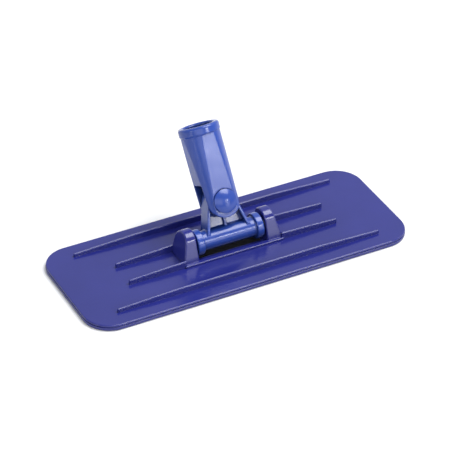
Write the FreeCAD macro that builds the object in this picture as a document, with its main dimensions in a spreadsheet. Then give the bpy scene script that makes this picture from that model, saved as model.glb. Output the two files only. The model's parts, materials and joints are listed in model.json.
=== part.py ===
import FreeCAD, Part
import Sketcher
import math
import os

# Swivel pad holder: a ribbed plate on two barbed strips, a yoke that tilts between two lugs, and a threaded
# handle socket that swivels on the yoke. Millimetres, +Z up, origin on the floor under the plate's centre,
# +X along the plate, -Y to the front. The yoke and the socket are drawn upright on the hinge's axis, then
# placed as they rest: leaned back, with the socket swivelled a little to the left.

# ------------------------------------------------------------------------------------- driving dimensions
SIZES = {
    # plate
    "plate_length": 228.6, "plate_width": 90.2, "corner_radius": 18.6,
    "plate_bottom": 0.3, "plate_top": 4.1,
    "lip_top": 2.35, "groove_top": 2.85, "groove_depth": 0.7, "upper_inset": 0.25,
    "plate_edge_radius": 0.7, "lip_edge_radius": 0.3,
    "sink": 0.3, "past": 1.0,
    # ribs
    "rib_crest_width": 1.6, "rib_foot_width": 1.9, "rib_nose_radius": 0.6,
    "long_rib_place": 32.6, "long_rib_end": 93.5, "long_rib_level": 50.0,
    "long_rib_crest": 8.3, "long_rib_tip": 6.6,
    "short_rib_place": 9.9, "short_rib_end": 74.7, "short_rib_level": 50.0,
    "short_rib_crest": 9.0, "short_rib_middle": 8.45, "short_rib_tip": 7.4,
    # hinge lugs and the ledges between them
    "lug_inner": 24.6, "lug_outer": 35.3, "lug_radius": 7.9, "lug_middle": 14.9, "lug_back": 2.0,
    "lug_front_flare": 20.0, "lug_back_flare": 3.0, "lug_draft": 14.0, "lug_edge_radius": 0.9,
    "ledge_inner": 8.6, "ledge_outer": 11.9, "ledge_top": 5.75,
    "ledge_edge_radius": 0.5,
    "slot_half_length": 24.3, "slot_half_width": 5.2, "slot_radius": 1.5,
    "core_wall": 2.5, "core_half_width": 6.5, "core_top": 9.0,
    # barbed strips
    "strip_length": 208.0, "strip_width": 25.4, "strip_middle": 26.6, "strip_radius": 2.0,
    "strip_gap": 0.2, "strip_top": 2.1, "barb_root": 1.2,
    "barb_pitch": 2.6, "barb_width": 1.1, "barb_tip": 0.5, "barb_count": 79, "barb_sink": 0.1,
    # hinge
    "hinge_height": 12.8, "lean_angle": 30.0, "rest_swivel": -2.5, "yoke_shift": -0.7,
    "axle_radius": 2.5, "axle_end": 30.8, "axle_chamfer": 0.5, "axle_end_gap": 0.1,
    "press_gap": 0.02, "running_gap": 0.05, "plug_radius": 3.2, "plug_inner": 31.0,
    "plug_outer": 33.0,
    # yoke
    "barrel_radius": 6.55, "barrel_end": 23.5, "collar_radius": 8.5, "collar_inner": 18.9,
    "collar_edge_radius": 0.4,
    "pin_height": 22.3, "boss_radius": 9.5, "gusset_angle": 15.8, "gusset_thickness": 1.9,
    "gusset_foot": 3.2, "gusset_foot_depth": 6.4, "tongue_depth": 5.7, "gusset_taper_height": 11.0,
    "web_depth": 1.0, "centre_rib_width": 1.6, "centre_rib_depth": 2.8, "window_top_gap": 0.3,
    # handle socket
    "socket_radius": 13.05, "socket_top": 72.8, "collar_height": 5.5, "socket_collar_radius": 13.6,
    "lip_radius": 1.8, "collar_foot_radius": 0.4,
    "face_depth_pin": 10.7, "face_depth_top": 12.35, "side_half_pin": 10.7, "side_half_top": 13.05,
    "ear_radius": 10.7, "ear_slot_half": 6.0, "ear_slot_top": 35.3, "slot_corner_radius": 1.2,
    "thread_radius": 9.8, "thread_floor": 39.0, "mouth_radius": 1.3,
    # pivot
    "pin_radius": 4.0, "dome_radius": 7.8, "dome_rim": 1.4, "dome_height": 3.6,
    "dome_seat": 10.42, "dome_seat_radius": 7.95,
    "screw_radius": 1.5, "screw_end": 6.0, "screw_hole_gap": 0.05, "screw_loose_gap": 0.15,
    "screw_hole_spare": 0.5, "screw_point_share": 0.4, "pin_back": 9.5,
    "seat_radius": 3.9, "seat_depth": 2.0, "head_radius": 3.1, "head_height": 1.5, "head_edge": 0.4,
    "spring_radius": 3.4, "spring_thickness": 0.5, "cross_width": 0.8, "cross_span": 3.6,
    "cross_depth": 0.9,
}

doc = FreeCAD.newDocument("SwivelPadHolder")
sheet = doc.addObject("Spreadsheet::Sheet", "Sizes")
for row, (alias, value) in enumerate(SIZES.items(), start=1):
    sheet.set(f"A{row}", alias)
    sheet.set(f"B{row}", str(value))
    sheet.setAlias(f"B{row}", alias)
doc.recompute()


# ------------------------------------------------------------------------ sizes that keep their expression
class Size:
    """A number together with the spreadsheet expression that gives it."""

    def __init__(self, value, text):
        self.value = value
        self.text = text

    def __add__(self, other):
        other = size(other)
        return Size(self.value + other.value, f"({self.text} + {other.text})")

    def __sub__(self, other):
        other = size(other)
        return Size(self.value - other.value, f"({self.text} - {other.text})")

    def __mul__(self, other):
        other = size(other)
        return Size(self.value * other.value, f"({self.text} * {other.text})")

    def __truediv__(self, other):
        other = size(other)
        return Size(self.value / other.value, f"({self.text} / {other.text})")

    def __neg__(self):
        return Size(-self.value, f"(-1 * {self.text})")

    def degrees_sin(self):
        return Size(math.sin(math.radians(self.value)), f"sin({self.text})")

    def degrees_cos(self):
        return Size(math.cos(math.radians(self.value)), f"cos({self.text})")

    def degrees_tan(self):
        return Size(math.tan(math.radians(self.value)), f"tan({self.text})")

    def square_root(self):
        return Size(math.sqrt(self.value), f"sqrt({self.text})")


def size(item):
    """A Size from a cell's alias, a plain number or a Size."""
    if isinstance(item, Size):
        return item
    if isinstance(item, str):
        return Size(SIZES[item], f"Sizes.{item}")
    return Size(float(item), f"({float(item)})")


# --------------------------------------------------------------------------------------- drawing helpers
def new_body(label):
    body = doc.addObject("PartDesign::Body", label)
    body.Label = label
    return body


def origin_feature(body, role):
    return next(item for item in body.Origin.OriginFeatures if item.Role == role)


def new_sketch(body, name, plane, offset=0):
    """An empty sketch on one of the body's own planes, moved along the plane's normal by offset."""
    sketch = body.newObject("Sketcher::SketchObject", name)
    sketch.AttachmentSupport = [(origin_feature(body, plane), "")]
    sketch.MapMode = "FlatFace"
    sketch.setExpression("AttachmentOffset.Base.z", size(offset).text)
    doc.recompute()
    return sketch


def fix_point(sketch, geometry, end, x, y):
    """Bind a point's two coordinates to the sheet; a zero coordinate puts it on the axis."""
    for kind, distance, axis in (("DistanceX", size(x), -2), ("DistanceY", size(y), -1)):
        if abs(distance.value) < 1e-9:
            sketch.addConstraint(Sketcher.Constraint("PointOnObject", geometry, end, axis))
            continue
        index = sketch.addConstraint(Sketcher.Constraint(kind, -1, 1, geometry, end, distance.value))
        sketch.setExpression(f"Constraints[{index}]", distance.text)


def fix_radius(sketch, geometry, radius):
    index = sketch.addConstraint(Sketcher.Constraint("Radius", geometry, radius.value))
    sketch.setExpression(f"Constraints[{index}]", radius.text)


def arc_between(start, end, radius):
    """The short anticlockwise arc from start to end."""
    chord = end - start
    middle = (start + end) * 0.5
    rise = math.sqrt(max(radius * radius - chord.Length ** 2 / 4, 0.0))
    centre = middle + FreeCAD.Vector(-chord.y, chord.x, 0).normalize() * rise
    angles = [math.atan2(point.y - centre.y, point.x - centre.x) for point in (start, end)]
    circle = Part.Circle(centre, FreeCAD.Vector(0, 0, 1), radius)
    return Part.ArcOfCircle(circle, angles[0], angles[1])


def draw_outline(sketch, corners, arcs=None):
    """A closed outline. arcs gives a radius to the edge that leaves a corner: > 0 turns anticlockwise."""
    arcs = arcs or {}
    count = len(corners)
    points = [FreeCAD.Vector(size(x).value, size(y).value, 0) for x, y in corners]
    ends = []
    for number, start in enumerate(points):
        finish = points[(number + 1) % count]
        if number not in arcs:
            geometry = sketch.addGeometry(Part.LineSegment(start, finish), False)
            ends.append((geometry, 1, 2))
        elif size(arcs[number]).value > 0:
            arc = arc_between(start, finish, size(arcs[number]).value)
            ends.append((sketch.addGeometry(arc, False), 1, 2))
        else:
            arc = arc_between(finish, start, -size(arcs[number]).value)
            ends.append((sketch.addGeometry(arc, False), 2, 1))
    for number, (geometry, first, last) in enumerate(ends):
        following, following_first, _ = ends[(number + 1) % count]
        link = Sketcher.Constraint("Coincident", geometry, last, following, following_first)
        sketch.addConstraint(link)
        fix_point(sketch, geometry, first, *corners[number])
        if number in arcs:
            radius = size(arcs[number])
            fix_radius(sketch, geometry, radius if radius.value > 0 else -radius)


def draw_circle(sketch, x, y, radius):
    radius = size(radius)
    centre = FreeCAD.Vector(size(x).value, size(y).value, 0)
    circle = Part.Circle(centre, FreeCAD.Vector(0, 0, 1), radius.value)
    geometry = sketch.addGeometry(circle, False)
    fix_point(sketch, geometry, 3, x, y)
    fix_radius(sketch, geometry, radius)


def draw_rectangle(sketch, left, bottom, right, top):
    draw_outline(sketch, [(left, bottom), (right, bottom), (right, top), (left, top)])


def draw_rounded_rectangle(sketch, half_length, half_width, radius, middle=0):
    """A rectangle with round corners, its centre at (0, middle)."""
    x, y, r, mid = size(half_length), size(half_width), size(radius), size(middle)
    low, high = mid - y, mid + y
    corners = [
        (r - x, low), (x - r, low), (x, low + r), (x, high - r),
        (x - r, high), (r - x, high), (-x, high - r), (-x, low + r),
    ]
    draw_outline(sketch, corners, {1: r, 3: r, 5: r, 7: r})


# --------------------------------------------------------------------------------------- feature helpers
volumes = {}


def settle(body, feature, grows):
    """Recompute, and stop if the feature failed or changed nothing."""
    doc.recompute()
    volume = body.Shape.Volume
    before = volumes.get(body.Label, 0.0)
    changed = volume > before + 1e-6 if grows else volume < before - 1e-6
    if not (feature.isValid() and changed):
        raise RuntimeError(f"{body.Label}.{feature.Label} did not work: {before:.3f} to {volume:.3f}")
    volumes[body.Label] = volume
    return feature


def extrude(body, sketch, kind, length, both_ways, reverse):
    feature = body.newObject(kind, f"{sketch.Label}_solid")
    feature.Profile = sketch
    feature.SideType = "Symmetric" if both_ways else "One side"
    feature.Reversed = reverse
    feature.setExpression("Length", size(length).text)
    return settle(body, feature, kind == "PartDesign::Pad")


def pad(body, sketch, length, both_ways=False, reverse=False):
    return extrude(body, sketch, "PartDesign::Pad", length, both_ways, reverse)


def pocket(body, sketch, length, both_ways=False, reverse=False):
    return extrude(body, sketch, "PartDesign::Pocket", length, both_ways, reverse)


def revolve(body, sketch, axis):
    feature = body.newObject("PartDesign::Revolution", f"{sketch.Label}_turned")
    feature.Profile = sketch
    feature.ReferenceAxis = (sketch, [axis])
    feature.Angle = 360.0
    return settle(body, feature, True)


def round_edges(body, name, radius, wanted):
    """Fillet every edge of the body that wanted() accepts."""
    base = body.Tip
    names = [f"Edge{n}" for n, edge in enumerate(base.Shape.Edges, start=1) if wanted(edge)]
    if not names:
        raise RuntimeError(f"{body.Label}.{name}: no edge to round")
    feature = body.newObject("PartDesign::Fillet", name)
    feature.Base = (base, names)
    feature.setExpression("Radius", size(radius).text)
    doc.recompute()
    if not feature.isValid() or not feature.Shape.isValid():
        raise RuntimeError(f"{body.Label}.{name}: the fillet failed on {len(names)} edges")
    volumes[body.Label] = body.Shape.Volume
    return feature


def flat_at(edge, axis, value):
    """Whether the whole edge lies in the plane where that coordinate has that value."""
    box = edge.BoundBox
    low = getattr(box, f"{axis}Min")
    high = getattr(box, f"{axis}Max")
    return abs(low - value) < 1e-3 and abs(high - value) < 1e-3


def placed(x, z, axis, angle):
    """The expression for a move to (x, 0, z) followed by a turn about an axis through that point."""
    place = f"vector({size(x).text}; 0; {size(z).text})"
    turn = f"rotation(vector({axis}); {size(angle).text})"
    return f"placement({place}; {turn})"


def lean_back(body):
    """Place a piece that turns with the yoke."""
    body.setExpression("Placement", placed("yoke_shift", "hinge_height", "-1; 0; 0", "lean_angle"))


def lean_and_swivel(body, origin_height=0):
    """Place a piece that turns with the socket; origin_height is where its own origin is on the yoke."""
    yoke = placed("yoke_shift", "hinge_height", "-1; 0; 0", "lean_angle")
    pivot = placed(0, "pin_height", "0; 1; 0", "rest_swivel")
    own = placed(0, size(origin_height) - "pin_height", "0; 1; 0", 0)
    body.setExpression("Placement", f"{yoke} * {pivot} * {own}")


# ----------------------------------------------------------------------------------------------- the plate
def rib_section(body, name, place, x, crest):
    """A rib's cross-section at x: sides that lean in to a full round crest."""
    middle, top, half_foot = size(place), size(crest), size("rib_foot_width") / 2
    foot, half_crest = size("plate_top") - "sink", size("rib_crest_width") / 2
    sketch = new_sketch(body, name, "YZ_Plane", x)
    draw_outline(sketch, [
        (middle - half_foot, foot), (middle + half_foot, foot), (middle + half_crest, top - half_crest),
        (middle, top), (middle - half_crest, top - half_crest)], {2: half_crest, 3: half_crest})
    return sketch


def add_rib(body, name, place, stations):
    """One rib along X, from section to section. stations are (x, crest height)."""
    for number, ((x, crest), (next_x, next_crest)) in enumerate(zip(stations, stations[1:]), start=1):
        sketch = rib_section(body, f"{name}_{number}", place, x, crest)
        if size(crest).value == size(next_crest).value:
            pad(body, sketch, size(next_x) - x)
            continue
        loft = body.newObject("PartDesign::AdditiveLoft", f"{name}_{number}_slope")
        loft.Profile = sketch
        loft.Sections = [rib_section(body, f"{name}_{number}_end", place, next_x, next_crest)]
        loft.Ruled = True
        settle(body, loft, True)


def make_pad_plate():
    body = new_body("pad_plate")
    half_x, half_y = size("plate_length") / 2, size("plate_width") / 2
    bottom, top = size("plate_bottom"), size("plate_top")
    levels = [
        ("plate_lip", bottom, size("lip_top"), size(0)),
        ("plate_groove", size("lip_top"), size("groove_top"), size("groove_depth")),
        ("plate_upper", size("groove_top"), top, size("upper_inset")),
    ]
    for name, low, high, inset in levels:
        sketch = new_sketch(body, name, "XY_Plane", low)
        draw_rounded_rectangle(sketch, half_x - inset, half_y - inset, size("corner_radius") - inset)
        pad(body, sketch, high - low)
    round_edges(body, "plate_edge_round", "plate_edge_radius", lambda edge: flat_at(edge, "Z", top.value))
    round_edges(body, "lip_edge_round", "lip_edge_radius", lambda edge: (
        flat_at(edge, "Z", bottom.value) or is_lip_edge(edge)))

    make_lugs(body)
    long_end, short_end, lug_outer = size("long_rib_end"), size("short_rib_end"), size("lug_outer")
    long_line = [
        (-long_end, "long_rib_tip"), (-size("long_rib_level"), "long_rib_crest"),
        ("long_rib_level", "long_rib_crest"), (long_end, "long_rib_tip")]
    right_line = [
        (lug_outer - "past", "short_rib_crest"), ("short_rib_level", "short_rib_middle"),
        (short_end, "short_rib_tip")]
    left_line = [(-size(x), crest) for x, crest in right_line[::-1]]
    for side, face in ((-1, "front"), (1, "back")):
        add_rib(body, f"long_rib_{face}", size("long_rib_place") * side, long_line)
        add_rib(body, f"short_rib_{face}_right", size("short_rib_place") * side, right_line)
        add_rib(body, f"short_rib_{face}_left", size("short_rib_place") * side, left_line)
    round_edges(body, "rib_nose_round", "rib_nose_radius", is_rib_nose)
    cut_plate(body)
    return body


def is_lip_edge(edge):
    """The outer edges of the lip's upper face."""
    half_x, half_y = SIZES["plate_length"] / 2, SIZES["plate_width"] / 2
    on_outline = [
        abs(abs(corner.X) - half_x) < 1e-3 or abs(abs(corner.Y) - half_y) < 1e-3 for corner in edge.Vertexes]
    return flat_at(edge, "Z", SIZES["lip_top"]) and all(on_outline)


def is_rib_nose(edge):
    """The edges round the free ends of the ribs."""
    x = abs(edge.CenterOfMass.x)
    at_end = abs(x - SIZES["long_rib_end"]) < 1e-3 or abs(x - SIZES["short_rib_end"]) < 1e-3
    return at_end and edge.BoundBox.XLength < 1e-3 and edge.CenterOfMass.z > SIZES["plate_top"] + 1e-3


def make_lugs(body):
    """The two lugs, round-topped, sloping in at the front and outside, and the ledges joining them."""
    radius, middle, back = size("lug_radius"), size("lug_middle"), size("lug_back")
    foot = size("plate_top") - "sink"

    def flank(flare, side):
        """Where a flank leaves the round top and where it meets the plate, on that side in Y."""
        touch_y, touch_z = radius * flare.degrees_cos(), middle + radius * flare.degrees_sin()
        foot_y = touch_y + (touch_z - foot) * flare.degrees_tan()
        return (back + touch_y * side, touch_z), (back + foot_y * side, foot)

    front_touch, front_foot = flank(size("lug_front_flare"), -1)
    back_touch, back_foot = flank(size("lug_back_flare"), 1)
    for side, start in ((1, size("lug_inner")), (-1, -size("lug_outer"))):
        sketch = new_sketch(body, f"lug_{'right' if side > 0 else 'left'}", "YZ_Plane", start)
        corners = [back_foot, back_touch, (back, middle + radius), front_touch, front_foot]
        draw_outline(sketch, corners, {1: radius, 2: radius})
        pad(body, sketch, size("lug_outer") - size("lug_inner"))
    sketch = new_sketch(body, "lug_draft", "XZ_Plane")
    outer, low, high = size("lug_outer"), size("ledge_top"), middle + radius + "past"
    right = [(outer, low), (outer, high), (outer - (high - low) * size("lug_draft").degrees_tan(), high)]
    draw_outline(sketch, right)
    draw_outline(sketch, [(-x, z) for x, z in right[::-1]])
    pocket(body, sketch, "plate_width", both_ways=True)
    round_edges(body, "lug_edge_round", "lug_edge_radius", is_lug_rim)

    sketch = new_sketch(body, "ledges", "XY_Plane", foot)
    reach = size("lug_outer")
    for side in (-1, 1):
        near, far = sorted((size("ledge_inner") * side, size("ledge_outer") * side), key=lambda y: y.value)
        draw_rectangle(sketch, -reach, near, reach, far)
    pad(body, sketch, size("ledge_top") - foot)
    round_edges(body, "ledge_edge_round", "ledge_edge_radius", is_ledge_edge)


def is_lug_rim(edge):
    """The edges round the lugs' inner faces and their leaning outer faces, above the ribs."""
    lean_in = math.tan(math.radians(SIZES["lug_draft"]))
    corners = [(abs(corner.X), corner.Z) for corner in edge.Vertexes]
    inside = [abs(x - SIZES["lug_inner"]) < 1e-3 for x, _ in corners]
    outside = [abs(x - SIZES["lug_outer"] + (z - SIZES["ledge_top"]) * lean_in) < 1e-3 for x, z in corners]
    return (all(inside) or all(outside)) and edge.BoundBox.ZMax > SIZES["short_rib_crest"]


def is_ledge_edge(edge):
    """The outer and inner long edges of the ledges' tops."""
    y = abs(edge.CenterOfMass.y)
    on_side = abs(y - SIZES["ledge_outer"]) < 1e-3 or abs(y - SIZES["ledge_inner"]) < 1e-3
    is_long = edge.BoundBox.XLength > SIZES["lug_outer"] - SIZES["lug_inner"]
    return on_side and is_long and flat_at(edge, "Z", SIZES["ledge_top"])


def cut_plate(body):
    """The slot under the barrel, the recesses for the barbed strips, the lugs' cores and the axle's bore."""
    bottom, top, past = size("plate_bottom"), size("plate_top"), size("past")
    under = bottom - past
    sketch = new_sketch(body, "slot", "XY_Plane", under)
    draw_rounded_rectangle(sketch, "slot_half_length", "slot_half_width", "slot_radius")
    pocket(body, sketch, top + past - under, reverse=True)

    sketch = new_sketch(body, "strip_recesses", "XY_Plane", under)
    gap = size("strip_gap")
    for side in (-1, 1):
        draw_rounded_rectangle(
            sketch, size("strip_length") / 2 + gap, size("strip_width") / 2 + gap,
            size("strip_radius") + gap, size("strip_middle") * side)
    pocket(body, sketch, size("strip_top") - under, reverse=True)

    sketch = new_sketch(body, "lug_cores", "XY_Plane", under)
    wall, half = size("core_wall"), size("core_half_width")
    near, far = size("lug_inner") + wall, size("lug_outer") - wall
    draw_rectangle(sketch, near, -half, far, half)
    draw_rectangle(sketch, -far, -half, -near, half)
    pocket(body, sketch, size("core_top") - under, reverse=True)

    axle, height = size("axle_radius") + "press_gap", size("hinge_height")
    end, outside = size("axle_end") + "axle_end_gap", size("lug_outer") + past
    sketch = new_sketch(body, "axle_bore", "YZ_Plane", -end)
    draw_circle(sketch, 0, height, axle)
    pocket(body, sketch, end + outside, reverse=True)
    sketch = new_sketch(body, "plug_bore", "YZ_Plane", "plug_inner")
    draw_circle(sketch, 0, height, size("plug_radius") + "press_gap")
    pocket(body, sketch, outside - "plug_inner", reverse=True)


def make_grip_strip(label, side):
    """A strip bonded into its recess, with rows of barbs that reach the floor."""
    body = new_body(label)
    root, top = size("barb_root"), size("strip_top")
    middle, pitch, count = size("strip_middle") * side, size("barb_pitch"), size("barb_count")
    sketch = new_sketch(body, f"{label}_base", "XY_Plane", root)
    draw_rounded_rectangle(sketch, size("strip_length") / 2, size("strip_width") / 2, "strip_radius", middle)
    pad(body, sketch, top - root)

    first = -pitch * (count - 1) / 2
    sketch = new_sketch(body, f"{label}_barb", "XZ_Plane", -middle)
    half_root, half_tip = size("barb_width") / 2, size("barb_tip") / 2
    sunk = root + size("barb_sink")
    draw_outline(sketch, [
        (first - half_tip, 0), (first + half_tip, 0), (first + half_root, sunk), (first - half_root, sunk)])
    barb = pad(body, sketch, size("strip_width") - size("strip_radius") * 2, both_ways=True)
    rows = body.newObject("PartDesign::LinearPattern", f"{label}_barbs")
    rows.Originals = [barb]
    rows.Direction = (origin_feature(body, "X_Axis"), [""])
    rows.setExpression("Length", (pitch * (count - 1)).text)
    rows.setExpression("Occurrences", count.text)
    body.Tip = rows
    settle(body, rows, True)
    return body


# ----------------------------------------------------------------------------------------------- the hinge
def make_hinge_axle():
    body = new_body("hinge_axle")
    end, radius, chamfer = size("axle_end"), size("axle_radius"), size("axle_chamfer")
    sketch = new_sketch(body, "axle_profile", "XZ_Plane")
    draw_outline(sketch, [
        (-end, 0), (end, 0), (end, radius - chamfer), (end - chamfer, radius), (chamfer - end, radius),
        (-end, radius - chamfer)])
    revolve(body, sketch, "H_Axis")
    body.setExpression("Placement.Base.z", "Sizes.hinge_height")
    return body


def make_axle_plug():
    """The disc that closes the axle's bore in the right lug."""
    body = new_body("axle_plug")
    sketch = new_sketch(body, "plug_face", "YZ_Plane", "plug_inner")
    draw_circle(sketch, 0, 0, "plug_radius")
    pad(body, sketch, size("plug_outer") - "plug_inner")
    body.setExpression("Placement.Base.z", "Sizes.hinge_height")
    return body


# ------------------------------------------------------------------------------------------------ the yoke
def make_swivel_yoke():
    """Drawn upright on the hinge's axis: a frame of two gussets and a round tongue, then the barrel."""
    body = new_body("swivel_yoke")
    pin, boss, angle = size("pin_height"), size("boss_radius"), size("gusset_angle")
    foot, deep = size("gusset_foot"), size("gusset_foot_depth")
    touch_x, touch_z = boss * angle.degrees_cos(), pin + boss * angle.degrees_sin()
    foot_x = touch_x + (touch_z - foot) * angle.degrees_tan()

    sketch = new_sketch(body, "yoke_frame", "XZ_Plane")
    corners = [(-foot_x, foot), (foot_x, foot), (touch_x, touch_z), (0, pin + boss), (-touch_x, touch_z)]
    draw_outline(sketch, corners, {2: boss, 3: boss})
    pad(body, sketch, deep * 2, both_ways=True)

    cut_windows(body, touch_x, touch_z)
    thin_tongue(body)

    sketch = new_sketch(body, "tongue_hole", "XZ_Plane")
    draw_circle(sketch, 0, pin, size("pin_radius") + size("running_gap"))
    pocket(body, sketch, (deep + "past") * 2, both_ways=True)

    sketch = new_sketch(body, "barrel", "XZ_Plane")
    bore, end, inner = size("axle_radius") + size("running_gap"), size("barrel_end"), size("collar_inner")
    radius, collar, curve = size("barrel_radius"), size("collar_radius"), size("collar_edge_radius")
    right = [
        (inner, radius), (inner, collar - curve), (inner + curve, collar), (end - curve, collar),
        (end, collar - curve), (end, bore)]
    left = [(-x, z) for x, z in right[::-1]]
    draw_outline(sketch, right + left, {1: -curve, 3: -curve, 7: -curve, 9: -curve})
    revolve(body, sketch, "H_Axis")
    lean_back(body)
    return body


def cut_windows(body, touch_x, touch_z):
    """Pockets from the front and the back, between the gussets, that leave a web and a low centre rib."""
    deep, web, rib = size("gusset_foot_depth"), size("web_depth"), size("centre_rib_depth")
    pin, boss, angle = size("pin_height"), size("boss_radius"), size("gusset_angle")
    wall = size("gusset_thickness") / angle.degrees_cos()
    floor = size("gusset_foot")
    side_low = touch_x + (touch_z - floor) * angle.degrees_tan() - wall
    # the inner face of a gusset meets the round tongue where their two lines cross
    reach = boss - size("window_top_gap")
    off_line = boss - size("gusset_thickness")
    turn = (reach * reach - off_line * off_line).square_root()
    meet_x = off_line * angle.degrees_cos() + turn * angle.degrees_sin()
    meet_z = pin + off_line * angle.degrees_sin() - turn * angle.degrees_cos()
    corners = [(-side_low, floor), (side_low, floor), (meet_x, meet_z), (0, pin - reach), (-meet_x, meet_z)]
    half_rib = size("centre_rib_width") / 2
    edge_z = pin - (reach * reach - half_rib * half_rib).square_root()
    right = [(half_rib, floor), (side_low, floor), (meet_x, meet_z), (half_rib, edge_z)]
    left = [(-x, z) for x, z in right[::-1]]
    for face, side in (("front", 1), ("back", -1)):
        sketch = new_sketch(body, f"window_{face}", "XZ_Plane", rib * side)
        draw_outline(sketch, corners, {2: -reach, 3: -reach})
        pocket(body, sketch, deep - rib + "past", reverse=side > 0)
        sketch = new_sketch(body, f"web_{face}", "XZ_Plane", web * side)
        draw_outline(sketch, right, {2: -reach})
        draw_outline(sketch, left, {0: -reach})
        pocket(body, sketch, deep - web + "past", reverse=side > 0)


def thin_tongue(body):
    """Slope the gussets from their deep feet to the tongue that runs between the socket's ears."""
    deep, thin = size("gusset_foot_depth"), size("tongue_depth")
    low, high, outside = size("gusset_foot"), size("gusset_taper_height"), deep + "past"
    top = size("pin_height") + "boss_radius" + "past"
    sketch = new_sketch(body, "tongue_sides", "YZ_Plane")
    right = [(deep, low), (outside, low), (outside, top), (thin, top), (thin, high)]
    draw_outline(sketch, right)
    draw_outline(sketch, [(-y, z) for y, z in right[::-1]])
    pocket(body, sketch, size("barrel_end") * 2, both_ways=True)


# --------------------------------------------------------------------------------------- the handle socket
def make_handle_socket():
    """Drawn upright on the hinge's axis: a round body with flats, two ears below and a collared mouth."""
    body = new_body("handle_socket")
    pin, radius, top = size("pin_height"), size("socket_radius"), size("socket_top")
    ear, neck, past = size("ear_radius"), size("socket_top") - "collar_height", size("past")
    foot = pin - ear - past
    sketch = new_sketch(body, "socket_round", "XY_Plane", foot)
    draw_circle(sketch, 0, 0, radius)
    pad(body, sketch, neck - foot)

    below, out = foot - past, radius + past
    for name, plane, at_pin, at_top in (
            ("faces", "YZ_Plane", size("face_depth_pin"), size("face_depth_top")),
            ("sides", "XZ_Plane", size("side_half_pin"), size("side_half_top"))):
        slope = (at_top - at_pin) / (neck - pin)
        low = at_pin - slope * (pin - below)
        right = [(low, below), (out, below), (out, neck), (at_top, neck)]
        sketch = new_sketch(body, f"socket_{name}", plane)
        draw_outline(sketch, right)
        draw_outline(sketch, [(-x, z) for x, z in right[::-1]])
        pocket(body, sketch, out * 2, both_ways=True)

    sketch = new_sketch(body, "ear_ends", "XZ_Plane")
    side = size("side_half_pin") + past
    for sign in (1, -1):
        loop = [(0, pin - ear), (0, below), (side * sign, below), (side * sign, pin), (ear * sign, pin)]
        draw_outline(sketch, loop, {4: -ear * sign})
    pocket(body, sketch, out * 2, both_ways=True)

    sketch = new_sketch(body, "ear_slot", "YZ_Plane")
    half, slot_top, curve = size("ear_slot_half"), size("ear_slot_top"), size("slot_corner_radius")
    corners = [
        (-half, below), (half, below), (half, slot_top - curve), (half - curve, slot_top),
        (curve - half, slot_top), (-half, slot_top - curve)]
    draw_outline(sketch, corners, {2: curve, 4: curve})
    pocket(body, sketch, out * 2, both_ways=True)

    sketch = new_sketch(body, "socket_collar", "XY_Plane", neck)
    draw_circle(sketch, 0, 0, "socket_collar_radius")
    pad(body, sketch, top - neck)
    round_edges(body, "collar_top_round", "lip_radius", lambda edge: flat_at(edge, "Z", top.value))
    round_edges(body, "collar_foot_round", "collar_foot_radius", lambda edge: (
        flat_at(edge, "Z", neck.value) and edge.BoundBox.XLength > 2 * SIZES["socket_radius"] + 1e-3))

    sketch = new_sketch(body, "thread_bore", "XY_Plane", "thread_floor")
    draw_circle(sketch, 0, 0, "thread_radius")
    pocket(body, sketch, top - "thread_floor" + past, reverse=True)
    round_edges(body, "mouth_round", "mouth_radius", lambda edge: (
        flat_at(edge, "Z", top.value) and edge.Curve.Radius < SIZES["thread_radius"] + 1e-3))

    for name, sign in (("front", 1), ("back", -1)):
        sketch = new_sketch(body, f"dome_seat_{name}", "XZ_Plane", size("dome_seat") * sign)
        draw_circle(sketch, 0, pin, "dome_seat_radius")
        pocket(body, sketch, out - "dome_seat", reverse=sign > 0)
    sketch = new_sketch(body, "ear_holes", "XZ_Plane")
    draw_circle(sketch, 0, pin, size("pin_radius") + size("press_gap"))
    pocket(body, sketch, out * 2, both_ways=True)
    lean_and_swivel(body)
    return body


# ----------------------------------------------------------------------------------------------- the pivot
def turned_piece(label, name, corners, arcs=None):
    """A piece turned about the pivot: corners are (distance from the axis, place along it, back positive)."""
    body = new_body(label)
    sketch = new_sketch(body, name, "XY_Plane")
    draw_outline(sketch, corners, arcs)
    revolve(body, sketch, "V_Axis")
    lean_and_swivel(body, "pin_height")
    return body


def dome_sphere_radius():
    """The sphere that rises from the dome's rim to its full height."""
    rise = size("dome_height") - size("dome_rim")
    half = size("dome_radius")
    return (half * half + rise * rise) / (rise * 2)


def make_pivot_pin():
    """Domed head on the front ear, and a shank through both ears with a hole for the screw."""
    face, rim, height = size("dome_seat"), size("dome_rim"), size("dome_height")
    shank, dome, back = size("pin_radius"), size("dome_radius"), size("pin_back")
    hole, bottom = size("screw_radius") + size("screw_hole_gap"), -size("screw_end")
    corners = [
        (0, -face - height), (dome, -face - rim), (dome, -face), (shank, -face), (shank, back),
        (hole, back), (hole, bottom), (0, bottom)]
    return turned_piece("pivot_pin", "pin_profile", corners, {0: dome_sphere_radius()})


def make_pivot_cap():
    """The back ear's cap: the same dome, with a seat for the washer and the screw's head."""
    face, rim, height = size("dome_seat"), size("dome_rim"), size("dome_height")
    dome, seat = size("dome_radius"), size("seat_radius")
    sphere = dome_sphere_radius()
    hole, floor = size("screw_radius") + "screw_loose_gap", face + height - "seat_depth"
    centre = face + height - sphere
    brim = centre + (sphere * sphere - seat * seat).square_root()
    corners = [(hole, face), (dome, face), (dome, face + rim), (seat, brim), (seat, floor), (hole, floor)]
    return turned_piece("pivot_cap", "cap_profile", corners, {2: sphere})


def make_spring_washer():
    floor = size("dome_seat") + "dome_height" - "seat_depth"
    inner, outer = size("screw_radius") + "screw_loose_gap", size("spring_radius")
    top = floor + "spring_thickness"
    corners = [(inner, floor), (outer, floor), (outer, top), (inner, top)]
    return turned_piece("spring_washer", "washer_profile", corners)


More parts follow.
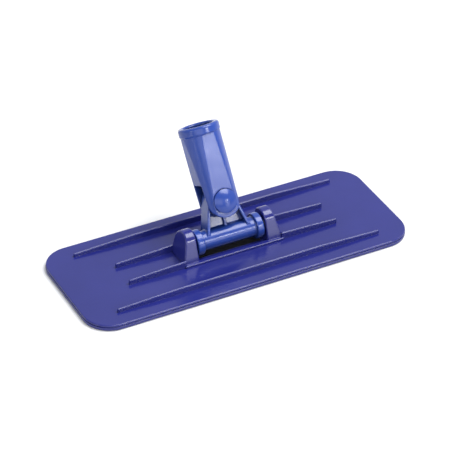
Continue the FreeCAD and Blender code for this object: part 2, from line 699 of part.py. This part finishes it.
def make_pivot_screw():
    """Pan head with a cross recess, its shank screwed into the pin."""
    under = size("dome_seat") + "dome_height" - "seat_depth" + "spring_thickness"
    head, height, edge = size("head_radius"), size("head_height"), size("head_edge")
    shank, point = size("screw_radius"), size("screw_radius") * size("screw_point_share")
    tip, top = size("screw_hole_spare") - "screw_end", under + height
    corners = [
        (0, tip), (point, tip), (shank, tip + shank), (shank, under), (head, under),
        (head, top - edge), (head - edge, top), (0, top)]
    body = turned_piece("pivot_screw", "screw_profile", corners, {5: edge})
    sketch = new_sketch(body, "cross_recess", "XZ_Plane", -top - "past")
    long_half, short_half = size("cross_span") / 2, size("cross_width") / 2
    draw_outline(sketch, [
        (long_half, -short_half), (long_half, short_half), (short_half, short_half), (short_half, long_half),
        (-short_half, long_half), (-short_half, short_half), (-long_half, short_half),
        (-long_half, -short_half), (-short_half, -short_half), (-short_half, -long_half),
        (short_half, -long_half), (short_half, -short_half)])
    pocket(body, sketch, size("cross_depth") + "past", reverse=True)
    return body


# ------------------------------------------------------------------------------------- build, check, write
pieces = [
    make_pad_plate(),
    make_grip_strip("grip_strip_front", -1),
    make_grip_strip("grip_strip_back", 1),
    make_hinge_axle(),
    make_axle_plug(),
    make_swivel_yoke(),
    make_handle_socket(),
    make_pivot_pin(),
    make_pivot_cap(),
    make_spring_washer(),
    make_pivot_screw(),
]
doc.recompute()

for item in doc.Objects:
    if "Invalid" in item.State or "Error" in item.State:
        raise RuntimeError(f"{item.Label} failed: {item.State}")

os.makedirs("parts", exist_ok=True)
for piece in pieces:
    shape = piece.Shape
    if shape.isNull() or not shape.isValid():
        raise RuntimeError(f"{piece.Label} has no valid shape")
    shape.exportStep(f"parts/{piece.Label}.step")
    print(f"{piece.Label}: {len(shape.Solids)} solid, {shape.Volume / 1000:.2f} cm3")
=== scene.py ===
import json
import math
import random

import bmesh
import bpy
from mathutils import Matrix, Vector


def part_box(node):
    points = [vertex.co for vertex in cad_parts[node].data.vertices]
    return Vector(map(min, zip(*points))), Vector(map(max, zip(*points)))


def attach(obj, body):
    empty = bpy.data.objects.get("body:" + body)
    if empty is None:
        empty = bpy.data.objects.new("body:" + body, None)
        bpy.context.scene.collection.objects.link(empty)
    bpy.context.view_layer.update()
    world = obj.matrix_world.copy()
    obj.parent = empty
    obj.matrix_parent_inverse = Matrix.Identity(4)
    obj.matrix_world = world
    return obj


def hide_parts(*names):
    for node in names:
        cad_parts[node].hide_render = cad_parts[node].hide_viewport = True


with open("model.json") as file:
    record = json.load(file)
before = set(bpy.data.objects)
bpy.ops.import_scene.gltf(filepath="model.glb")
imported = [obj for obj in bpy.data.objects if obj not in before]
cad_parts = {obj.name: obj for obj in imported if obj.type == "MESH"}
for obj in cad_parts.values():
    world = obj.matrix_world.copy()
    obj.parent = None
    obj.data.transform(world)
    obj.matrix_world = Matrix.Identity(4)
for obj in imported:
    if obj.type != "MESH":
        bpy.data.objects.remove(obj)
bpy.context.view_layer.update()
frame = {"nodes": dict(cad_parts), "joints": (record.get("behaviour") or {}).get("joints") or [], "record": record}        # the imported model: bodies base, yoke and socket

MM = 0.001
random.seed(7)

# ------------------------------------------------------------------------------- places read from the frame
joints = {joint["name"]: joint for joint in frame["joints"]}
mounts = {mount["name"]: mount for mount in frame["record"]["mounts"]}
THREAD = mounts["handle_thread"]
FRONT = Vector(joints["swivel"]["axis"]).normalized()      # out of the front ear, along the pivot
UP = Vector(THREAD["axis"]).normalized()                   # along the socket, out of its mouth
SIDE = FRONT.cross(UP).normalized()                        # across the socket, at right angles to both


# ------------------------------------------------------------------------------------------- mesh helpers
SOFT_VOXEL = 0.3 * MM      # voxel size that the softened mouldings are remeshed at
SOFT_PASSES = 4            # smoothing passes that ease their edges


def add_object(name, mesh, body, smooth=True):
    """A new piece that rides a body."""
    piece = bpy.data.objects.new(name, mesh)
    bpy.context.scene.collection.objects.link(piece)
    if smooth:
        for polygon in mesh.polygons:
            polygon.use_smooth = True
    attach(piece, body)
    return piece


def join_rings(work, lower, upper):
    """Faces of a bmesh between two rings with the same number of corners."""
    for number in range(len(lower)):
        following = (number + 1) % len(lower)
        work.faces.new((lower[number], lower[following], upper[following], upper[number]))


def finished_mesh(name, work):
    """The mesh of a bmesh, with its faces turned outwards."""
    bmesh.ops.recalc_face_normals(work, faces=work.faces)
    mesh = bpy.data.meshes.new(name)
    work.to_mesh(mesh)
    work.free()
    return mesh


def softened(node, name, body):
    """A copy of a CAD node with every sharp edge eased the way a mould leaves it."""
    mesh = frame["nodes"][node].data.copy()
    source = bpy.data.objects.new(f"{name}_source", mesh)
    bpy.context.scene.collection.objects.link(source)
    remesh = source.modifiers.new("remesh", "REMESH")
    remesh.mode = "VOXEL"
    remesh.voxel_size = SOFT_VOXEL
    ease = source.modifiers.new("ease", "SMOOTH")
    ease.factor = 0.5
    ease.iterations = SOFT_PASSES
    graph = bpy.context.evaluated_depsgraph_get()
    final = bpy.data.meshes.new_from_object(source.evaluated_get(graph))
    bpy.data.objects.remove(source)
    final.materials.clear()
    piece = add_object(name, final, body)
    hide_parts(node)
    return piece


# ---------------------------------------------------------------------------------------- material helpers
# The Mix node holds the sockets of all its data types at once, so they are picked by number: A, B, result.
MIX_SOCKETS = {"VECTOR": (4, 5, 1), "RGBA": (6, 7, 2)}
EDGE_RADIUS = 0.5 * MM                      # radius of the rounded and rubbed edges
EDGE_START, EDGE_FULL = 0.995, 0.90         # cosines by which rounding an edge turns its normal
CORNER_REACH = 3.0 * EDGE_RADIUS            # how far around an edge its openness is measured
CORNER_SHUT, CORNER_OPEN = 0.65, 0.90       # openness of an inside corner and of an outside edge


def node_tree(name):
    """A new material, its tree and its shader."""
    material = bpy.data.materials.new(name)
    material.use_nodes = True
    tree = material.node_tree
    shader = tree.nodes["Principled BSDF"]
    return material, tree, shader


def add_node(tree, kind, inputs=None, **settings):
    """A node with some of its settings and unlinked inputs filled in."""
    node = tree.nodes.new(kind)
    for key, value in settings.items():
        setattr(node, key, value)
    for key, value in (inputs or {}).items():
        node.inputs[key].default_value = value
    return node


def noise_field(tree, coordinates, scale, detail=4.0, roughness=0.55):
    """Noise from 0 to 1 with about scale cells to the metre."""
    field = add_node(tree, "ShaderNodeTexNoise", {"Scale": scale, "Detail": detail, "Roughness": roughness})
    tree.links.new(coordinates, field.inputs["Vector"])
    return field.outputs["Fac"]


def remap(tree, value, low, high, to_low, to_high):
    """Stretch the range low to high of a socket over the range to_low to to_high, and clamp it there."""
    ramp = add_node(tree, "ShaderNodeMapRange", {
        "From Min": low, "From Max": high, "To Min": to_low, "To Max": to_high})
    tree.links.new(value, ramp.inputs["Value"])
    return ramp.outputs["Result"]


def patches(tree, coordinates, scale, low, high, to_low=0.0, to_high=1.0):
    """Noise whose values from low to high are stretched over the range to_low to to_high."""
    return remap(tree, noise_field(tree, coordinates, scale), low, high, to_low, to_high)


def blend(tree, factor, first, second, kind="RGBA"):
    """Mix two colours, each a tuple or a socket, or two vector sockets, by a factor socket."""
    mix = add_node(tree, "ShaderNodeMix", data_type=kind)
    tree.links.new(factor, mix.inputs["Factor"])
    first_socket, second_socket, result = MIX_SOCKETS[kind]
    for source, number in ((first, first_socket), (second, second_socket)):
        if isinstance(source, tuple):
            mix.inputs[number].default_value = (*source, 1.0)
        else:
            tree.links.new(source, mix.inputs[number])
    return mix.outputs[result]


def multiply(tree, first, second):
    """The product of two sockets."""
    product = add_node(tree, "ShaderNodeMath", operation="MULTIPLY")
    tree.links.new(first, product.inputs[0])
    tree.links.new(second, product.inputs[1])
    return product.outputs["Value"]


def add_bump(tree, height, strength, depth, normal=None):
    """A normal bent by a height socket, on top of another normal if there is one."""
    bump = add_node(tree, "ShaderNodeBump", {"Strength": strength, "Distance": depth})
    tree.links.new(height, bump.inputs["Height"])
    if normal:
        tree.links.new(normal, bump.inputs["Normal"])
    return bump.outputs["Normal"]


def edge_mask(tree):
    """1 on sharp outside edges, 0 elsewhere, and the normal with those edges rounded off."""
    rounded = add_node(tree, "ShaderNodeBevel", {"Radius": EDGE_RADIUS}, samples=6).outputs["Normal"]
    true_normal = add_node(tree, "ShaderNodeNewGeometry").outputs["Normal"]
    match = add_node(tree, "ShaderNodeVectorMath", operation="DOT_PRODUCT")
    tree.links.new(rounded, match.inputs[0])
    tree.links.new(true_normal, match.inputs[1])
    sharp = remap(tree, match.outputs["Value"], EDGE_START, EDGE_FULL, 0.0, 1.0)

    # an inside corner hides part of its own surroundings, an outside edge does not
    corner = add_node(tree, "ShaderNodeAmbientOcclusion", {"Distance": CORNER_REACH}, samples=6)
    outside = remap(tree, corner.outputs["AO"], CORNER_SHUT, CORNER_OPEN, 0.0, 1.0)
    return multiply(tree, sharp, outside), blend(tree, outside, true_normal, rounded, kind="VECTOR")


# ---------------------------------------------------------------------------------------------- materials
DRIFT_SCALE = 22.0               # noise cells to the metre: slow change of colour
GLOSS_SCALE = 70.0               # patches that are a little shinier or duller
SCUFF_SCALE = 900.0              # where the edges are rubbed
GRAIN_SCALE = 2600.0             # fine moulded grain
GRAIN_DEPTH = 0.006 * MM
WAVE_SCALE = 55.0                # faint sink and flow of a large moulding
WAVE_DEPTH = 0.4 * MM
PLASTIC_IOR = 1.5
STAIN_SCALE = 600.0              # dull patches of the plating
PLATING_GRAIN_SCALE = 4000.0
PLATING_GRAIN_DEPTH = 0.004 * MM


def moulded_plastic(name, colour, deep, worn, roughness, grain, reach=4.0 * MM, painted_shade_factor=0.85, clear=0.5):
    """Moulded plastic: slow colour drift, painted shade in recesses within reach, and edges rubbed lighter.

    The painted shade multiplies the colour of a closed recess by a factor, and a face is unshaded from an
    openness of clear upwards.
    """
    material, tree, shader = node_tree(name)
    place = add_node(tree, "ShaderNodeTexCoord").outputs["Object"]
    drift = patches(tree, place, DRIFT_SCALE, 0.35, 0.65)
    # painted shade: occlusion within reach darkens the colour of recesses, where shade falls
    recess = add_node(tree, "ShaderNodeAmbientOcclusion", {"Distance": reach}, samples=8)
    open_face = remap(tree, recess.outputs["AO"], 0.05, clear, 0.0, 1.0)
    shaded_colour = tuple(channel * painted_shade_factor for channel in deep)
    body_colour = blend(tree, open_face, shaded_colour, blend(tree, drift, colour, deep))

    edges, rounded = edge_mask(tree)
    scuffs = patches(tree, place, SCUFF_SCALE, 0.45, 0.65, 0.1, 0.6)
    wear = multiply(tree, edges, scuffs)
    tree.links.new(blend(tree, wear, body_colour, worn), shader.inputs["Base Color"])

    gloss = patches(tree, place, GLOSS_SCALE, 0.3, 0.7, roughness * 0.85, roughness * 1.2)
    tree.links.new(gloss, shader.inputs["Roughness"])
    fine = add_bump(tree, noise_field(tree, place, GRAIN_SCALE, detail=2.0), grain, GRAIN_DEPTH, rounded)
    waves = add_bump(tree, noise_field(tree, place, WAVE_SCALE, detail=1.0), grain, WAVE_DEPTH, fine)
    tree.links.new(waves, shader.inputs["Normal"])
    shader.inputs["IOR"].default_value = PLASTIC_IOR
    return material


def plated_steel(name):
    """Zinc-plated steel with dull patches and a fine grain."""
    material, tree, shader = node_tree(name)
    place = add_node(tree, "ShaderNodeTexCoord").outputs["Object"]
    stains = patches(tree, place, STAIN_SCALE, 0.35, 0.7)
    colour = blend(tree, stains, (0.62, 0.62, 0.64), (0.42, 0.41, 0.40))
    tree.links.new(colour, shader.inputs["Base Color"])
    tree.links.new(remap(tree, stains, 0.0, 1.0, 0.22, 0.42), shader.inputs["Roughness"])
    grain = add_bump(tree, noise_field(tree, place, PLATING_GRAIN_SCALE), 0.2, PLATING_GRAIN_DEPTH)
    tree.links.new(grain, shader.inputs["Normal"])
    shader.inputs["Metallic"].default_value = 1.0
    return material


def set_material(piece, material):
    piece.data.materials.clear()
    piece.data.materials.append(material)


# Every plastic paints shade into its recesses; the yoke's long reach and low factor paint it deep into the
# socket's mouth.
plate_plastic = moulded_plastic(
    "plate_plastic", colour=(0.017, 0.021, 0.172), deep=(0.014, 0.018, 0.152), worn=(0.06, 0.07, 0.34),
    roughness=0.18, grain=0.25)
yoke_plastic = moulded_plastic(
    "yoke_plastic", colour=(0.020, 0.055, 0.295), deep=(0.017, 0.047, 0.262), worn=(0.09, 0.16, 0.50),
    roughness=0.22, grain=0.25, reach=30.0 * MM, painted_shade_factor=0.15, clear=0.75)
barb_plastic = moulded_plastic(
    "barb_plastic", colour=(0.018, 0.020, 0.11), deep=(0.014, 0.015, 0.085), worn=(0.06, 0.07, 0.22),
    roughness=0.42, grain=0.3)
steel = plated_steel("steel")

node_materials = {
    "pad_plate": plate_plastic,
    "axle_plug": plate_plastic,
    "hinge_axle": steel,
    "pivot_pin": yoke_plastic,
    "pivot_cap": yoke_plastic,
    "spring_washer": steel,
    "pivot_screw": steel,
}
for node, material in node_materials.items():
    set_material(frame["nodes"][node], material)

# --------------------------------------------------------------------------------------- yoke and socket
yoke = softened("swivel_yoke", "moulded_yoke", "yoke")
set_material(yoke, yoke_plastic)
socket = softened("handle_socket", "moulded_socket", "socket")
set_material(socket, yoke_plastic)


# ------------------------------------------------------------------------------------------ handle thread
THREAD_PITCH = 5.08 * MM         # 5 turns to the inch
THREAD_DEPTH = 2.3 * MM          # from the bore's wall to the crest of the ridge
THREAD_ROOT = 3.1 * MM           # width of the ridge at the wall
THREAD_CREST = 1.6 * MM          # width of its crest
THREAD_SINK = 0.15 * MM          # how far its root reaches into the wall
THREAD_END = 1.2 * MM            # plain wall left at the mouth
THREAD_STEPS = 72                # sections in a turn
THREAD_FADE = 0.2                # part of a turn in which the ridge rises from the wall
THREAD_THIN = 0.35               # width of the ridge's end, as a part of its full width


def make_thread():
    """The ridge of the handle thread, wound inside the socket's bore."""
    wall = THREAD["dims"]["r_mm"] * MM
    length = THREAD["dims"]["length_mm"] * MM
    low = Vector(THREAD["pos_m"]) - UP * (length / 2)
    turns = (length - THREAD_ROOT - THREAD_END) / THREAD_PITCH
    total = int(turns * THREAD_STEPS)
    section = [
        (THREAD_SINK, -THREAD_ROOT / 2), (-THREAD_DEPTH, -THREAD_CREST / 2),
        (-THREAD_DEPTH, THREAD_CREST / 2), (THREAD_SINK, THREAD_ROOT / 2)]
    fade_steps = THREAD_STEPS * THREAD_FADE
    work = bmesh.new()
    rings = []
    for step in range(total + 1):
        angle = math.tau * step / THREAD_STEPS
        fade = min(1.0, step / fade_steps, (total - step) / fade_steps)
        width = THREAD_THIN + (1.0 - THREAD_THIN) * fade
        outward = SIDE * math.cos(angle) + FRONT * math.sin(angle)
        height = THREAD_ROOT / 2 + THREAD_PITCH * step / THREAD_STEPS
        ring = []
        for radial, along in section:
            reach = wall + radial * (fade if radial < 0 else 1.0)
            ring.append(work.verts.new(low + outward * reach + UP * (height + along * width)))
        rings.append(ring)
    for lower, upper in zip(rings, rings[1:]):
        join_rings(work, lower, upper)
    work.faces.new(rings[0][::-1])
    work.faces.new(rings[-1])
    mesh = finished_mesh("handle_thread", work)
    piece = add_object("handle_thread", mesh, "socket", smooth=False)
    set_material(piece, yoke_plastic)


make_thread()


# -------------------------------------------------------------------------------------------- barb fields
STRIP_BASE = 1.2 * MM            # height of the strip's flat underside over the floor
STRIP_CORNER = 2.0 * MM
BARB_PITCH = 2.6 * MM
BARB_MARGIN = 1.6 * MM           # from the strip's edge to the first row of barbs
BARB_SINK = 0.05 * MM            # how far a barb's root reaches into the strip
BARB_TWIST = 12                  # degrees a barb may lean off the strip's own directions

# a barb's rings from root to tip: part of the root's height, half width, and how far it leans
BARB_RINGS = ((1.0, 0.52 * MM, 0.0), (0.5, 0.40 * MM, 0.25 * MM), (0.0, 0.20 * MM, 0.75 * MM))


def rounded_slab(work, low, high, radius, steps=6):
    """A slab with round corners in plan, added to a bmesh."""
    left, right = low.x + radius, high.x - radius
    front, back = low.y + radius, high.y - radius
    outline = []
    corners = ((right, back, 0), (left, back, 90), (left, front, 180), (right, front, 270))
    for centre_x, centre_y, start in corners:
        for step in range(steps + 1):
            angle = math.radians(start + 90 * step / steps)
            outline.append((centre_x + radius * math.cos(angle), centre_y + radius * math.sin(angle)))
    bottom = [work.verts.new((x, y, low.z)) for x, y in outline]
    top = [work.verts.new((x, y, high.z)) for x, y in outline]
    work.faces.new(bottom[::-1])
    work.faces.new(top)
    join_rings(work, bottom, top)


def add_barb(work, x, y, root, lean):
    """One barb: a stubby square post that bends over to a blunt tip on the floor."""
    rings = []
    for share, half, shift in BARB_RINGS:
        middle_x = x + shift * lean[0]
        middle_y = y + shift * lean[1]
        corners = ((-half, -half), (half, -half), (half, half), (-half, half))
        rings.append([work.verts.new((middle_x + a, middle_y + b, root * share)) for a, b in corners])
    for upper, lower in zip(rings, rings[1:]):
        join_rings(work, lower, upper)
    work.faces.new(rings[-1][::-1])


def make_barb_field(node, name):
    """The strip's base with barbs leaning every which way, in place of its plain ridges."""
    low, high = (Vector(corner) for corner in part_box(node))
    work = bmesh.new()
    rounded_slab(work, Vector((low.x, low.y, STRIP_BASE)), high, STRIP_CORNER)
    columns = int((high.x - low.x - 2 * BARB_MARGIN) / BARB_PITCH)
    rows = int((high.y - low.y - 2 * BARB_MARGIN) / BARB_PITCH)
    middle = (low + high) / 2
    for column in range(columns + 1):
        for row in range(rows + 1):
            turn = random.choice((0, 90, 180, 270)) + random.uniform(-BARB_TWIST, BARB_TWIST)
            lean = (math.cos(math.radians(turn)), math.sin(math.radians(turn)))
            x = middle.x + (column - columns / 2) * BARB_PITCH
            y = middle.y + (row - rows / 2) * BARB_PITCH
            add_barb(work, x, y, STRIP_BASE + BARB_SINK, lean)
    piece = add_object(name, finished_mesh(name, work), "base", smooth=False)
    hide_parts(node)
    set_material(piece, barb_plastic)


make_barb_field("grip_strip_front", "barb_field_front")
make_barb_field("grip_strip_back", "barb_field_back")


# ---------------------------------------------------------------------------------------- floor and light
FLOOR_HALF = 4.0                            # metres from the middle of the floor to its edge
FLOOR_DROP = 0.05 * MM                      # keeps the floor just clear of the barbs' tips
PAPER_SCALE = 3.0                           # noise cells to the metre in the studio paper
SLOT_PAINTED_SHADOW = (0.03, 0.03, 0.035)            # painted shadow: dark colour of the paper under the plate's slot, where no light reaches
SLOT_PAINTED_SHADOW_REACH = 24.0 * MM                # where that shade starts to fade
SLOT_PAINTED_SHADOW_END = 36.0 * MM                  # and where it has gone
LIGHT_TARGET = Vector((0.0, 0.0, 0.02))     # the point that every light faces

SWEEP_DIRECTION = Vector((0.45, 0.85, 0.25)).normalized()      # towards the bright side of the studio
SWEEP_FROM, SWEEP_TO = -0.2, 0.75           # cosines to that direction between which the studio brightens
SWEEP_DIM, SWEEP_BRIGHT = 0.40, 0.85        # strengths in front and behind

# Name, direction from the target, distance and size in metres, watts. The front lights shine in the faces
# that look at the camera, and the left strip along the socket's left side.
LIGHTS = (
    ("key_above", (0.40, -0.10, 0.92), 2.0, (1.3, 1.3), 47.0),
    ("fill_front", (-0.45, -0.85, 0.50), 2.2, (2.0, 1.2), 13.0),
    ("front_box", (0.38, -0.90, 0.085), 1.6, (0.46, 0.50), 2.3),
    ("front_core", (0.37, -0.86, 0.40), 1.5, (0.30, 0.20), 3.8),
    ("left_strip", (-0.92, -0.30, 0.30), 1.7, (0.14, 0.8), 3.0))


def make_floor():
    """White studio paper, with a painted shadow where the slot would show it."""
    corners = [(-FLOOR_HALF, -FLOOR_HALF, 0), (FLOOR_HALF, -FLOOR_HALF, 0),
               (FLOOR_HALF, FLOOR_HALF, 0), (-FLOOR_HALF, FLOOR_HALF, 0)]
    mesh = bpy.data.meshes.new("floor")
    mesh.from_pydata(corners, [], [(0, 1, 2, 3)])
    mesh.update()
    floor = bpy.data.objects.new("floor", mesh)
    bpy.context.scene.collection.objects.link(floor)
    floor.location.z = -FLOOR_DROP
    material, tree, shader = node_tree("studio_paper")
    place = add_node(tree, "ShaderNodeTexCoord").outputs["Object"]
    shade = patches(tree, place, PAPER_SCALE, 0.3, 0.7)
    paper = blend(tree, shade, (0.76, 0.76, 0.76), (0.745, 0.745, 0.75))
    distance = add_node(tree, "ShaderNodeVectorMath", operation="LENGTH")
    tree.links.new(place, distance.inputs[0])
    # painted shadow: the paper darkens towards the middle, under the slot
    unshadowed_paper = remap(tree, distance.outputs["Value"], SLOT_PAINTED_SHADOW_REACH, SLOT_PAINTED_SHADOW_END, 0.0, 1.0)
    tree.links.new(blend(tree, unshadowed_paper, SLOT_PAINTED_SHADOW, paper), shader.inputs["Base Color"])
    shader.inputs["Roughness"].default_value = 0.9
    set_material(floor, material)


def add_area(name, direction, distance, size, power):
    """A rectangular light that faces the target from a direction."""
    data = bpy.data.lights.new(name, "AREA")
    data.shape = "RECTANGLE"
    data.size, data.size_y = size
    data.energy = power
    light = bpy.data.objects.new(name, data)
    bpy.context.scene.collection.objects.link(light)
    light.location = LIGHT_TARGET + Vector(direction).normalized() * distance
    light.rotation_euler = (LIGHT_TARGET - light.location).to_track_quat("-Z", "Y").to_euler()


def make_world():
    """A studio that is bright round the back, where the paper sweeps up, and dim above the camera."""
    world = bpy.data.worlds.new("studio")
    world.use_nodes = True
    tree = world.node_tree
    direction = add_node(tree, "ShaderNodeTexCoord").outputs["Generated"]
    facing = add_node(tree, "ShaderNodeVectorMath", operation="DOT_PRODUCT")
    tree.links.new(direction, facing.inputs[0])
    facing.inputs[1].default_value = SWEEP_DIRECTION
    sweep = remap(tree, facing.outputs["Value"], SWEEP_FROM, SWEEP_TO, SWEEP_DIM, SWEEP_BRIGHT)
    background = tree.nodes["Background"]
    background.inputs["Color"].default_value = (0.95, 0.97, 1.0, 1.0)
    tree.links.new(sweep, background.inputs["Strength"])
    bpy.context.scene.world = world


make_floor()
for light in LIGHTS:
    add_area(*light)
make_world()
bpy.context.scene.view_settings.view_transform = "Standard"


# ------------------------------------------------------------------------------------------------ camera
CAMERA_DISTANCE = 1.6011                    # metres from the origin
CAMERA_AZIMUTH = math.radians(-27.56)       # from the front, minus to the left
CAMERA_ELEVATION = math.radians(36.02)
CAMERA_ROLL = math.radians(0.39)
CAMERA_LENS = 198.8                         # millimetres
CAMERA_SHIFT = (-0.0049, 0.0551)


def make_camera():
    """A long lens that looks down on the plate from the front left."""
    back = Vector((
        math.sin(CAMERA_AZIMUTH) * math.cos(CAMERA_ELEVATION),
        -math.cos(CAMERA_AZIMUTH) * math.cos(CAMERA_ELEVATION),
        math.sin(CAMERA_ELEVATION)))
    data = bpy.data.cameras.new("camera")
    data.lens = CAMERA_LENS
    data.shift_x, data.shift_y = CAMERA_SHIFT
    data.clip_end = 20.0
    camera = bpy.data.objects.new("camera", data)
    bpy.context.scene.collection.objects.link(camera)
    rotation = back.to_track_quat("Z", "Y").to_matrix() @ Matrix.Rotation(CAMERA_ROLL, 3, "Z")
    camera.matrix_world = Matrix.Translation(back * CAMERA_DISTANCE) @ rotation.to_4x4()
    bpy.context.scene.camera = camera


make_camera()
